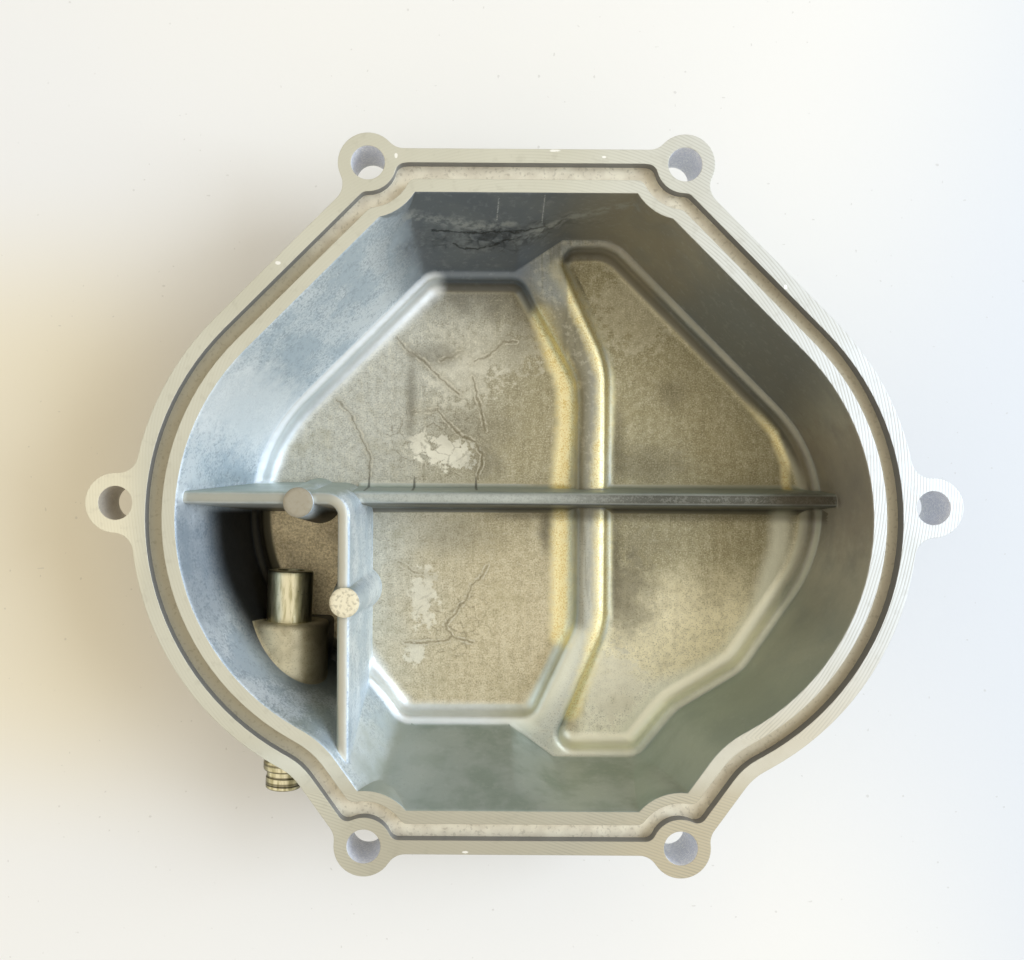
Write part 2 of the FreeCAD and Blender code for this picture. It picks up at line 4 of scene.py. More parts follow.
import bmesh
import bpy
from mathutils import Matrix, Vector


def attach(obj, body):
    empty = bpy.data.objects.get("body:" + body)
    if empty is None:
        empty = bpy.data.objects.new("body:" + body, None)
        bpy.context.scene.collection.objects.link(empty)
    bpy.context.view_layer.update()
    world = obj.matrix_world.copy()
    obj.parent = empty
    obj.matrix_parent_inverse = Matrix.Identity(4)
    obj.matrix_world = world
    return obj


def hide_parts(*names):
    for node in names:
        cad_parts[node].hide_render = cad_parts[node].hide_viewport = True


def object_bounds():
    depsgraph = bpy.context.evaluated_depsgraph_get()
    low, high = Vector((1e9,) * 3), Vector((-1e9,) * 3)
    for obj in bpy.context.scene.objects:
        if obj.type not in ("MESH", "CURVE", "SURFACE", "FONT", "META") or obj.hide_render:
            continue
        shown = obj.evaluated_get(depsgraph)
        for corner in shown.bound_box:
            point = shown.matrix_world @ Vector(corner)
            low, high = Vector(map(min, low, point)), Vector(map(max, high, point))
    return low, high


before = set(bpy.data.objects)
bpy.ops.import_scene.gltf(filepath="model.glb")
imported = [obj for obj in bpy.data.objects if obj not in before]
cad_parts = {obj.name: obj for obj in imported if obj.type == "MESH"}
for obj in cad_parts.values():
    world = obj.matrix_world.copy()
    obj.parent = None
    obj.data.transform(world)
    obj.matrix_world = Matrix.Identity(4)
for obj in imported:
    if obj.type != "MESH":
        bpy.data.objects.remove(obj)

bl_info = {
    "name": "Breather Cover",
    "version": (1, 0, 0),
    "blender": (4, 5, 0),
    "location": "View3D > Sidebar > Cover",
    "description": "Dresses a die-cast breather cover with its cast, milled and plated finishes",
    "category": "Object",
}

CAD_LOW, CAD_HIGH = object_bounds()

# Places on the cover, in millimetres
BOLTS = [(31.75, 68.4), (31.75, -68.4), (-31.75, -68.4), (-31.75, 68.4), (81.85, 0.0), (-81.85, 0.0)]
TUBE_START = (-50.15, -15.0, -22.0)
TUBE_YAW = math.radians(1.7)
TUBE_LENGTH = 48.2
TUBE_ALONG = (-math.sin(TUBE_YAW), -math.cos(TUBE_YAW), 0.0)
TUBE_RING = 47.2
GROOVE_DEPTH = 2.6
PAD_HEIGHT = -2.0
LOW_RIB_Y = 1.2
MILL_CENTRE_Y = 6.0
# The middle of the strip between the panels, and where the torn top wall begins
STRIP_X = 14.0
TOP_WALL_Y = 44.0

# Limits by which the faces of the casting are told apart, in millimetres
BOLT_HOLE_REACH = 3.6
TUBE_HOLE_REACH = 5.1
INSIDE_REACH = 74.0
JOINT_FACE_Z = -0.02
LEDGE_Z = -25.5
FLOOR_Z = -33.5
# Slots of the casting's materials
MILLED, DRILLED, GROOVE, WALLS, LEFT_FLOOR, OUTSIDE, LEDGE, TORN_WALL, RIGHT_FLOOR = range(9)

# Corners of the CAD mesh nearer than this many metres are one, and edges sharper than this angle are crisp
WELD_REACH = 1e-6
CREASE_ANGLE = math.radians(24)

# Stage: places and sizes in metres, the sensor and the lens in millimetres
CAMERA_XY = (-0.0139, 0.0030)
CAMERA_TURN = math.radians(0.37)
SENSOR_WIDTH = 36.0
LENS_LENGTH = 35.16
LENS_SHIFT = (0.0557, 0.0098)
WINDOW_PLACE = (1.30, 0.12, 0.88)
WINDOW_SIZE = (0.95, 1.25)
WINDOW_TINT = (0.72, 0.84, 1.0)
ROOM_TINT = (1.0, 0.925, 0.78, 1.0)
TABLE_REACH = 1.6

# Fine raised and sunk cracks of the worn casting die, as lines of points on the floor panels
CRACKS = [
    [(-28.6, 39.9), (-25.3, 35.7), (-23.0, 34.1), (-21.4, 33.4), (-18.3, 29.9), (-15.9, 28.1),
     (-12.9, 25.3)],
    [(-17.6, 33.2), (-14.8, 34.1), (-12.5, 35.3)],
    [(-9.4, 33.0), (-5.9, 34.7), (-2.9, 37.7), (0.4, 37.8)],
    [(-9.9, 29.3), (-8.9, 25.3), (-7.0, 17.1)],
    [(-23.4, 21.2), (-18.2, 21.7), (-15.2, 18.2), (-12.8, 15.9), (-9.3, 14.3), (-7.4, 11.3),
     (-8.5, 5.4), (-8.8, 2.6)],
    [(-41.6, 23.9), (-38.6, 20.9), (-36.2, 16.2), (-33.8, 10.4), (-34.0, 2.6)],
    [(-21.2, 9.0), (-21.2, 2.6)],
    [(-27.1, -13.9), (-23.1, -16.2), (-18.2, -17.4)],
    [(-6.1, -14.5), (-7.0, -16.8), (-10.2, -19.4), (-11.2, -22.7), (-16.0, -28.6), (-14.4, -31.1),
     (-9.7, -32.7)],
    [(-14.4, -31.1), (-15.3, -32.1), (-20.7, -32.8), (-25.4, -32.8)],
]

# Painted highlights, bands of light at the feet of the strip between the panels (gold, with a short gold
# glint by the right panel's right foot) and of the other sides (white)
GOLD_HIGHLIGHTS = [
    [(5.9, 43.5), (9.3, 34.2), (11.8, 27.0), (12.0, 19.0), (11.0, 8.0), (10.6, 2.6)],
    [(10.9, -3.0), (11.0, -20.0), (10.8, -31.0)],
    [(9.5, 53.9), (13.0, 47.7), (17.8, 38.0), (20.6, 29.5), (20.7, 20.0), (19.9, 12.0), (19.4, 2.6)],
    [(20.2, -3.0), (20.3, -25.0), (17.4, -36.8), (13.6, -48.4)],
]
GLINTS = [[(53.5, 24.5), (60.3, 16.8), (63.2, 9.5), (63.6, 2.8)]]
WHITE_HIGHLIGHTS = [
    [(-19.6, 50.4), (-36.3, 35.3), (-49.3, 22.5), (-55.2, 14.4), (-58.6, 4.0)],
    [(-37.6, -31.5), (-30.2, -43.6), (-24.4, -49.6), (3.2, -50.0), (10.4, -39.4), (13.4, -30.5)],
    [(26.5, -54.0), (35.0, -44.6), (50.5, -35.5), (57.5, -25.0), (62.0, -10.0), (62.5, -3.0)],
    [(11.0, -55.6), (25.5, -55.8)],
]
# Left side of the strip between the panels
STRIP_SIDE = [[(1.0, 51.4), (14.15, 28.0), (14.15, -27.5), (4.2, -48.8)]]

# Torn skin of the top wall, as lines of x and depth below the joint face
WALL_CRACKS = [
    [(-14.5, 17.6), (-12.5, 19.5), (-9.6, 20.4), (-6.3, 18.7), (-3.0, 16.6), (0.1, 15.6)],
    [(-19.0, 13.2), (-13.8, 14.0), (-8.9, 13.9), (-3.1, 13.0), (2.7, 13.8), (6.0, 15.4)],
]
WALL_SCRATCHES = [[(3.8, 1.0), (4.2, 12.2)], [(-5.4, 2.0), (-5.5, 9.2)]]
WALL_STREAKS = [
    [(-24.0, 7.2), (-17.0, 9.4), (-9.0, 11.4), (-3.0, 10.6)],
    [(3.0, 15.6), (7.0, 15.4), (12.3, 13.2), (19.4, 7.8), (22.4, 5.8)],
]

# Stains, pale patches and painted shade on the floor panels: x, y, half width, half height, strength
DARK_STAINS_AND_SHADE = [
    # A painted shadow along the top edge of the left panels
    (-5.5, 51.0, 24.0, 6.0, 0.60),
    (2.0, 44.0, 5.0, 9.0, 0.35),
    (26.0, -22.0, 6.0, 9.5, 0.62),
    (28.5, -9.0, 7.5, 3.5, 0.28),
    # Painted shade beside the gold highlight right of the strip
    (23.3, -14.0, 1.8, 9.0, 0.55),
    (30.0, 9.5, 8.5, 4.4, 0.40),
    (23.8, 14.5, 1.8, 7.0, 0.45),
    (36.6, 26.3, 3.4, 3.0, 0.30),
    (7.6, -6.0, 1.6, 5.5, 0.65),
    (-24.3, 24.0, 1.3, 7.5, 0.50),
    (-18.3, 34.6, 5.0, 2.4, 0.45),
    (-7.2, 9.5, 4.2, 3.4, 0.36),
    (-13.5, -8.0, 8.5, 3.5, 0.25),
    (-10.0, 17.0, 9.0, 4.0, 0.25),
]
PALE_PATCHES = [
    (-15.1, 11.5, 5.4, 3.4, 0.90),
    (-21.4, 13.6, 3.2, 2.6, 0.75),
    (-21.0, -22.5, 2.8, 6.6, 0.55),
    (-23.0, -35.0, 2.4, 2.6, 0.60),
    (-12.0, 29.5, 7.5, 5.5, 0.30),
    (22.6, -41.5, 7.0, 7.5, 0.60),
    (-8.0, 36.0, 14.0, 6.0, 0.20),
    (28.0, 45.0, 10.0, 10.0, 0.17),
]
# Small bright knocks on the joint face: x, y, half width, half height
KNOCKS = [
    (5.7, 71.0, 0.9, 0.22),
    (-26.1, 69.8, 0.35, 0.5),
    (-49.2, -48.4, 0.5, 0.4),
    (15.5, 69.8, 0.4, 0.2),
    (-49.6, 48.2, 0.5, 0.35),
    (-28.7, -61.8, 0.3, 1.4),
    (-11.4, -69.4, 0.6, 0.2),
    (52.0, 44.0, 0.3, 0.4),
]


def linear(red, green, blue):
    """Colour for a shader from the values of a paint program, 0 to 255."""
    parts = []
    for value in (red, green, blue):
        share = value / 255
        parts.append(share / 12.92 if share <= 0.04045 else ((share + 0.055) / 1.055) ** 2.4)
    return (*parts, 1.0)


def opaque(colour):
    """Colour for a shader from a colour that the user sets."""
    return (*colour, 1.0)


class Signal:
    """A shader socket that is reckoned with like a number."""

    def __init__(self, sheet, socket):
        self.sheet = sheet
        self.socket = socket

    def reckon(self, operation, *values):
        """Signal of a Math node on some values."""
        return self.sheet.node("ShaderNodeMath", {"operation": operation}, dict(enumerate(values)))

    def __add__(self, other):
        return self.reckon("ADD", self, other)

    __radd__ = __add__

    def __sub__(self, other):
        return self.reckon("SUBTRACT", self, other)

    def __rsub__(self, other):
        return self.reckon("SUBTRACT", other, self)

    def __mul__(self, other):
        return self.reckon("MULTIPLY", self, other)

    __rmul__ = __mul__

    def __truediv__(self, other):
        return self.reckon("DIVIDE", self, other)

    def __rtruediv__(self, other):
        return self.reckon("DIVIDE", other, self)

    def __pow__(self, other):
        return self.reckon("POWER", self, other)

    def __rpow__(self, other):
        return self.reckon("POWER", other, self)

    def __neg__(self):
        return self.reckon("MULTIPLY", self, -1.0)

    def __abs__(self):
        return self.reckon("ABSOLUTE", self)

    def least(self, other):
        return self.reckon("MINIMUM", self, other)

    def most(self, other):
        return self.reckon("MAXIMUM", self, other)

    def wave(self):
        return self.reckon("SINE", self)

    def rise(self, low, high):
        """0 below low and 1 above high, with a soft change between; it falls where low is the larger."""
        turned = low > high
        ends = {1: min(low, high), 2: max(low, high), 3: float(turned), 4: float(not turned)}
        smooth = {"interpolation_type": "SMOOTHSTEP"}
        return self.sheet.node("ShaderNodeMapRange", smooth, {0: self, **ends})


class Sheet:
    """The nodes of one material."""

    def __init__(self, name):
        self.material = bpy.data.materials.new(name)
        self.material.use_nodes = True
        self.tree = self.material.node_tree
        self.tree.nodes.clear()
        self.shader = self.add("ShaderNodeBsdfPrincipled")
        self.add("ShaderNodeOutputMaterial", sockets={"Surface": Signal(self, self.shader.outputs[0])})
        places = self.add("ShaderNodeTexCoord")
        self.place = self.vector("SCALE", {0: Signal(self, places.outputs["Object"]), "Scale": 1000.0})
        self.facing = Signal(self, places.outputs["Normal"])
        self.x, self.y, self.z = self.split(self.place)
        self.nx, self.ny, self.nz = self.split(self.facing)

    def add(self, kind, settings=None, sockets=None):
        """Adds a node: its settings first, then the values or links of its sockets."""
        made = self.tree.nodes.new(kind)
        for key, value in (settings or {}).items():
            setattr(made, key, value)
        self.fill(made, sockets or {})
        return made

    def fill(self, made, sockets):
        """Gives the sockets of a node their values or links."""
        for key, value in sockets.items():
            if isinstance(value, Signal):
                self.tree.links.new(value.socket, made.inputs[key])
            else:
                made.inputs[key].default_value = value

    def node(self, kind, settings=None, sockets=None, output=0):
        """Adds a node and returns the signal of one of its outputs."""
        return Signal(self, self.add(kind, settings, sockets).outputs[output])

    def vector(self, operation, sockets, output=0):
        """Signal of a Vector Math node."""
        return self.node("ShaderNodeVectorMath", {"operation": operation}, sockets, output)

    def split(self, vector):
        """The three parts of a vector."""
        parts = self.add("ShaderNodeSeparateXYZ", sockets={0: vector})
        return [Signal(self, socket) for socket in parts.outputs]

    def join(self, x, y, z):
        """Vector of three parts."""
        return self.node("ShaderNodeCombineXYZ", sockets={0: x, 1: y, 2: z})

    def grain(self, size, detail=2.0, roughness=0.5, stretch=None):
        """Cloudy pattern from 0 to 1 whose clouds are about size millimetres across."""
        place = self.place
        if stretch is not None:
            place = self.vector("MULTIPLY", {0: place, 1: stretch})
        return self.noise(place, 1.0 / size, detail, roughness)

    def noise(self, place, scale, detail, roughness=0.5):
        """Cloudy pattern from 0 to 1 over a place of its own."""
        return self.node("ShaderNodeTexNoise", sockets={
            "Vector": place, "Scale": scale, "Detail": detail, "Roughness": roughness})

    def net(self, place, scale):
        """Distance from the joints of a net of ragged cells."""
        return self.node(
            "ShaderNodeTexVoronoi", {"feature": "DISTANCE_TO_EDGE"}, {"Vector": place, "Scale": scale})

    def shaken(self, across, along, sizes, detail, reach):
        """Flat place that wavers by reach millimetres, so that straight lines on it look torn."""
        wavering = [
            part + (self.grain(size, detail) - 0.5) * reach for part, size in zip((across, along), sizes)]
        return self.join(*wavering, 0.0)

    def blend(self, share, first, second):
        """Colour between first and second."""
        return self.node("ShaderNodeMix", {"data_type": "RGBA"}, {0: share, 6: first, 7: second}, output=2)

    def spot(self, x, y, half_width, half_height, ragged, soft=0.45):
        """1 inside an oval on the floor and 0 outside, with a ragged edge."""
        return self.oval((self.x - x) / half_width, (self.y - y) / half_height, ragged, soft)

    def wall_spot(self, x, depth, half_width, half_height, ragged, soft=0.45):
        """1 inside an oval on an upright wall, placed by x and depth, and 0 outside."""
        return self.oval((self.x - x) / half_width, (self.z + depth) / half_height, ragged, soft)

    def oval(self, across, along, ragged, soft):
        """1 where both shares of the half sizes are small and 0 past the oval's edge."""
        reach = (across * across + along * along) ** 0.5 + ragged
        return reach.rise(1.0 + soft, 1.0 - soft)

    def line_gap(self, flat, lines):
        """Distance in millimetres from the nearest of some lines of points."""
        ends = [pair for points in lines for pair in zip(points, points[1:])]
        return reduce(Signal.least, (self.run_gap(flat, start, end) for start, end in ends))

    def run_gap(self, flat, start, end):
        """Distance in millimetres from the straight run between two points."""
        run = (end[0] - start[0], end[1] - start[1], 0.0)
        offset = self.vector("SUBTRACT", {0: flat, 1: (*start, 0.0)})
        along = self.vector("DOT_PRODUCT", {0: offset, 1: run}, output=1)
        share = self.node("ShaderNodeClamp", sockets={0: along / (run[0] ** 2 + run[1] ** 2)})
        foot = self.vector("SCALE", {0: run, "Scale": share})
        return self.vector("DISTANCE", {0: offset, 1: foot}, output=1)

    def beside_tube(self):
        """Distances in millimetres along the tube from its inner end, and sideways from its middle."""
        x = self.x - TUBE_START[0]
        y = self.y - TUBE_START[1]
        return x * TUBE_ALONG[0] + y * TUBE_ALONG[1], x * TUBE_ALONG[1] - y * TUBE_ALONG[0]

    def round_edges(self, radius):
        """Surface direction with its sharp edges rounded by radius in millimetres."""
        return self.node("ShaderNodeBevel", {"samples": 4}, {"Radius": radius / 1000})

    def relief(self, height, depth, over=None):
        """Surface direction of a relief whose height signal runs over depth millimetres."""
        sockets = {"Strength": 1.0, "Distance": depth / 1000, "Height": height}
        if over is not None:
            sockets["Normal"] = over
        return self.node("ShaderNodeBump", sockets=sockets)

    def finish(self, **sockets):
        """Fills the shader's sockets, whose names have underscores here for spaces."""
        self.fill(self.shader, {key.replace("_", " "): value for key, value in sockets.items()})
        return self.material


class Coat:
    """A colour that is built up in layers on a sheet."""

    def __init__(self, sheet, colour):
        self.sheet = sheet
        self.colour = colour

    def cover(self, share, colour):
        """Lays a further colour over the coat wherever share is above 0."""
        self.colour = self.sheet.blend(share, self.colour, colour)


def milled_face(look):
    """Joint face: pale aluminium with the fine arcs of the milling cutter."""
    sheet = Sheet("milled_face")
    haze = sheet.grain(26.0, 3.0)
    fine = sheet.grain(0.6, 2.0)
    ring = (sheet.x * sheet.x + (sheet.y - MILL_CENTRE_Y) * (sheet.y - MILL_CENTRE_Y)) ** 0.5
    slant = sheet.y * 0.97 + sheet.x * 0.30
    low = sheet.y.rise(-46.0, -58.0)
    path = ring * (1.0 - low) + slant * low
    turn = path * (2 * math.pi / look.mill_pitch) + haze * 9.0
    lines = (turn.wave() * 0.5 + 0.5) ** 3.0
    patchy = sheet.grain(9.0, 2.0).rise(0.35, 0.65)
    strength = (sheet.x.rise(-30.0, 75.0) * 0.75 + low * 0.5 + 0.12) * (patchy * 0.5 + 0.5)
    # Painted light: the face turns a cooler grey towards the right, the window side.
    cool = (sheet.x + sheet.y * 0.15).rise(10.0, 88.0)
    base = Coat(sheet, opaque(look.flange_colour))
    base.cover(cool, linear(210, 214, 218))
    base.cover(sheet.x.rise(-74.0, -82.0) * 0.8, linear(236, 230, 206))
    base.cover(sheet.y.rise(-46.0, -66.0) * sheet.x.rise(-52.0, -22.0) * 0.7, linear(168, 162, 144))
    base.cover(haze.rise(0.35, 0.7) * 0.25, linear(176, 172, 152))
    base.cover(sheet.grain(2.2, 3.0).rise(0.56, 0.7) * 0.12, linear(140, 136, 120))
    corner = (sheet.x - sheet.y).rise(76.0, 100.0) * sheet.y.rise(-20.0, -50.0)
    base.cover(corner * 0.6, linear(196, 184, 156))
    base.cover((lines * strength).least(1.0) * 0.55, linear(150, 148, 136))
    ragged = (sheet.grain(0.9) - 0.5) * 1.2
    knock = reduce(Signal.most, (sheet.spot(*place, ragged, 0.25) for place in KNOCKS))
    base.cover(knock * 0.8, (0.95, 0.95, 0.92, 1.0))
    height = fine * 0.3 - lines
    return sheet.finish(
        Base_Color=base.colour,
        Metallic=0.55,
        Roughness=0.42 + sheet.grain(4.0, 2.0) * 0.14,
        Normal=sheet.relief(height, 0.012, sheet.round_edges(look.edge_round)),
    )


def groove_metal(look):
    """Seal groove: brownish floor with painted shade along its left and right sides, and a painted dark
    reflection on its upright walls.
    """
    sheet = Sheet("groove_metal")
    ragged = sheet.grain(3.0, 3.0)
    base = Coat(sheet, linear(222, 214, 194))
    base.cover(ragged.rise(0.3, 0.7), linear(242, 236, 216))
    # Painted shade: the groove floor is darker along the left and right sides.
    dark = abs(sheet.y).rise(60.0, 46.0)
    tone = sheet.blend(sheet.x.rise(-20.0, 40.0), linear(178, 171, 147), linear(190, 182, 160))
    base.cover(dark * 0.85, tone)
    corner = (sheet.x - sheet.y).rise(88.0, 112.0) * sheet.y.rise(-24.0, -44.0)
    base.cover(corner * 0.6, linear(218, 200, 162))
    base.cover(sheet.grain(0.7, 2.0).rise(0.55, 0.7) * 0.3, linear(136, 126, 104))
    # Painted dark reflection on the upright walls.
    wall = sheet.nz.rise(0.6, 0.2)
    base.cover(wall, linear(134, 135, 136))
    return sheet.finish(
        Base_Color=base.colour,
        Metallic=0.45,
        Roughness=0.48,
        Normal=sheet.relief(sheet.grain(0.5, 2.0), 0.03, sheet.round_edges(look.edge_round)),
    )


def drilled_metal(look):
    """Walls of the bolt holes: grey, speckled and faintly ringed by the drill."""
    sheet = Sheet("drilled_metal")
    rings = ((sheet.z * 9.0 + sheet.grain(3.0) * 6.0).wave() * 0.5 + 0.5) ** 2.0
    speckle = sheet.grain(0.45, 3.0, 0.7).rise(0.45, 0.62)
    base = Coat(sheet, linear(222, 225, 234))
    base.cover(speckle, linear(252, 253, 255))
    base.cover(sheet.x.rise(-60.0, -80.0) * 0.7, linear(176, 160, 126))
    base.cover(rings * 0.25, linear(176, 178, 186))
    return sheet.finish(
        Base_Color=base.colour,
        Metallic=0.25,
        Roughness=0.42,
        Normal=sheet.relief(rings + speckle * 0.7, 0.04, sheet.round_edges(look.edge_round)),
    )


class CastSheet(Sheet):
    """Nodes of a surface inside the casting, with the patterns that such surfaces share."""

    def __init__(self, name):
        super().__init__(name)
        self.cloud = self.grain(9.0, 3.0, 0.6)
        self.mottle = self.grain(1.6, 3.0, 0.65)
        self.fine = self.grain(0.35, 1.0)
        self.ragged = (self.grain(3.5, 3.0, 0.7) - 0.5) * 1.6
        self.drift = (self.cloud - 0.5) * 14.0
        self.depth = -self.z
        self.chamber = self.x.rise(-35.0, -36.5) * self.y.rise(-0.5, -2.5) * self.y.rise(-47.0, -30.0)


def on_side(side, marks):
    """The lines or ovals of a list that lie on one side of the strip, or all of them."""
    chosen = []
    for mark in marks:
        centre = mark[0] if isinstance(mark[0], float) else sum(x for x, y in mark) / len(mark)
        if side == "both" or (side == "left") == (centre < STRIP_X):
            chosen.append(mark)
    return chosen


def floor_colour(sheet, look, brushed, side):
    """Stained and brushed metal of the floor panels, with painted light that brightens them towards the
    bottom.
    """
    cloud, mottle, fine = sheet.cloud, sheet.mottle, sheet.fine
    on_right = sheet.x.rise(13.0, 18.0)
    # Painted light: the panels grow brighter towards the bottom, the right ones most, and whiten at their
    # lower end.
    lit = (cloud * 22.0 - 8.0 - sheet.y).rise(-24.0, 34.0)
    lit_right = (cloud * 24.0 - 12.0 - sheet.y).rise(10.0, 30.0)
    ground = Coat(sheet, linear(158, 149, 117))
    ground.cover(on_right, linear(168, 161, 130))
    ground.cover(lit * (1.0 - on_right), linear(204, 192, 160))
    ground.cover(lit_right * on_right, linear(255, 247, 214))
    ground.cover(on_right * (sheet.y + cloud * 16.0 - 8.0).rise(-34.0, -46.0) * 0.85, linear(255, 255, 240))
    left = (sheet.y * 0.35 + cloud * 18.0 - 9.0 - sheet.x).rise(-2.0, 44.0)
    ground.cover(left * 0.85, linear(200, 202, 195))
    ground.cover(mottle.rise(0.42, 0.66) * 0.22, linear(122, 112, 82))
    ground.cover(fine.rise(0.52, 0.72) * 0.36, linear(92, 84, 60))
    ground.cover(fine.rise(0.48, 0.30) * 0.30, linear(240, 234, 212))
    ground.cover(brushed.rise(0.50, 0.68) * 0.09, linear(112, 102, 76))
    ground.cover(brushed.rise(0.48, 0.34) * 0.08, linear(238, 230, 204))
    ground.cover(mottle.rise(0.50, 0.30) * 0.18, linear(226, 220, 198))
    ground.cover(cloud.rise(0.52, 0.72) * 0.25, linear(160, 150, 112))
    torn_edge = sheet.ragged + (mottle - 0.5) * 3.0
    dark_oval_edge = sheet.ragged + (mottle - 0.5) * 1.4
    # Pale patches, then dark ovals: stains, with painted shade among them
    for patches, soft, edge, colour in (
        (PALE_PATCHES, 0.20, torn_edge, linear(232, 228, 210)),
        (DARK_STAINS_AND_SHADE, 0.75, dark_oval_edge, linear(84, 78, 60)),
    ):
        for x, y, half_width, half_height, strength in on_side(side, patches):
            share = sheet.spot(x, y, half_width, half_height, edge, soft) * (strength * look.stains_and_shade)
            ground.cover(share, colour)
    oil = Coat(sheet, linear(196, 178, 138))
    oil.cover(sheet.grain(0.45, 3.0, 0.7).rise(0.32, 0.68), linear(255, 240, 204))
    oil.cover(cloud.rise(0.45, 0.62) * 0.35, linear(116, 100, 70))
    ground.cover(sheet.chamber * 0.90, oil.colour)
    return ground


def cracked(sheet, ground):
    """Lays fine raised and sunk cracks over the floor, with painted shade round them and a painted highlight
    along their edges.
    """
    shaken = sheet.shaken(sheet.x, sheet.y, (2.2, 1.9), 2.0, 1.5)
    gap = sheet.line_gap(shaken, CRACKS)
    crack = gap.rise(0.26, 0.06) * sheet.cloud.rise(0.36, 0.50)
    # Painted shade in a wide band round each crack.
    ground.cover(gap.rise(1.6, 0.2) * 0.24, linear(120, 110, 80))
    # Painted highlight along both edges of each crack.
    beside = gap.rise(0.80, 0.50) * gap.rise(0.20, 0.45) * sheet.mottle.rise(0.42, 0.56)
    ground.cover(beside * 0.45, linear(228, 222, 202))
    ground.cover(crack * 0.42, linear(106, 96, 70))
    net = sheet.net(shaken, 0.26)
    upper = sheet.spot(-17.0, 14.0, 13.0, 10.0, sheet.ragged, 0.5)
    netted = upper.most(sheet.spot(-14.0, -28.0, 9.0, 8.0, sheet.ragged, 0.5))
    ground.cover(net.rise(0.055, 0.01) * netted * sheet.mottle.rise(0.42, 0.52) * 0.35, linear(104, 95, 70))


def wall_colour(sheet):
    """Walls and ribs: painted light and shade by the way a surface faces, with clouds, stains and a painted
    shadow deep in the chamber.
    """
    cloud, mottle, drift = sheet.cloud, sheet.mottle, sheet.drift
    wide = sheet.grain(28.0, 1.0)
    frost = sheet.grain(0.5, 2.0, 0.6)
    wall = Coat(sheet, linear(184, 181, 167))
    # Painted light: surfaces that face the window are bluish and light.
    wall.cover(sheet.nx.rise(-0.25, 0.45), linear(190, 205, 217))
    # Painted shade on walls facing -y, such as the top wall, and painted grey-green light on walls facing
    # +y.
    sideways = sheet.nx.rise(0.75, 0.35)
    wall.cover(sheet.ny.rise(-0.35, -0.85) * sideways * sheet.x.rise(-36.0, -20.0), linear(110, 116, 120))
    wall.cover(sheet.ny.rise(0.35, 0.9) * sideways, linear(158, 168, 158))
    # Painted shade on the top wall and a lighter painted tone on the bottom wall, set by place.
    along = sheet.x + drift
    top = sheet.y.rise(43.0, 50.0) * along.rise(-34.0, -19.0) * along.rise(52.0, 24.0)
    top_tone = sheet.blend(along.rise(2.0, 26.0), linear(104, 112, 122), linear(158, 152, 136))
    wall.cover(top * 0.9, top_tone)
    bottom = sheet.y.rise(-43.0, -50.0) * along.rise(-38.0, -22.0) * along.rise(44.0, 24.0)
    wall.cover(bottom * 0.9, linear(174, 184, 179))
    wall.cover(cloud.rise(0.4, 0.7) * 0.30, linear(128, 134, 134))
    # Painted light on the walls that face the window: pale patches and a bright spot, with darker mottling
    # and a duskier spot.
    lit_wall = sheet.nx.rise(0.25, 0.6) * (1.0 - top) * (1.0 - bottom)
    pale = (cloud * 0.6 + wide * 0.4 + (frost - 0.5) * 0.35).rise(0.42, 0.60)
    wall.cover(lit_wall * pale * 0.70, linear(238, 246, 252))
    wall.cover(lit_wall * (mottle * 0.6 + frost * 0.4).rise(0.50, 0.38) * 0.35, linear(140, 155, 170))
    wall.cover(bottom * cloud.rise(0.44, 0.70) * 0.34, linear(132, 152, 130))
    wall.cover(bottom * sheet.x.rise(0.0, -24.0) * wide.rise(0.4, 0.6) * 0.35, linear(206, 212, 206))
    wall.cover(mottle.rise(0.52, 0.70) * 0.10, linear(214, 218, 218))
    wall.cover(frost.rise(0.60, 0.72) * 0.12, linear(90, 92, 88))
    bright = sheet.spot(-57.0, 20.0, 9.0, 9.0, sheet.ragged, 0.5)
    wall.cover(lit_wall * bright * 0.65, linear(248, 252, 255))
    dusky = sheet.spot(-68.0, -16.0, 7.0, 16.0, sheet.ragged, 0.5)
    wall.cover(lit_wall * dusky * 0.45, linear(124, 138, 150))
    # Painted shade on walls that face away from the window.
    turned_away = sheet.nx.rise(0.0, -0.5)
    wall.cover(wide.rise(0.45, 0.7) * turned_away * 0.30, linear(116, 108, 94))
    reddish = sheet.spot(68.0, 4.0, 9.0, 13.0, sheet.ragged, 0.5)
    wall.cover(reddish * turned_away * 0.30, linear(120, 96, 88))
    wall.cover(turned_away * sheet.y.rise(-6.0, -36.0) * 0.40, linear(152, 170, 160))
    # Painted shadow deep in the chamber.
    wall.cover(sheet.chamber * sheet.depth.rise(8.0, 17.5) * 0.97, linear(22, 19, 11))
    return wall


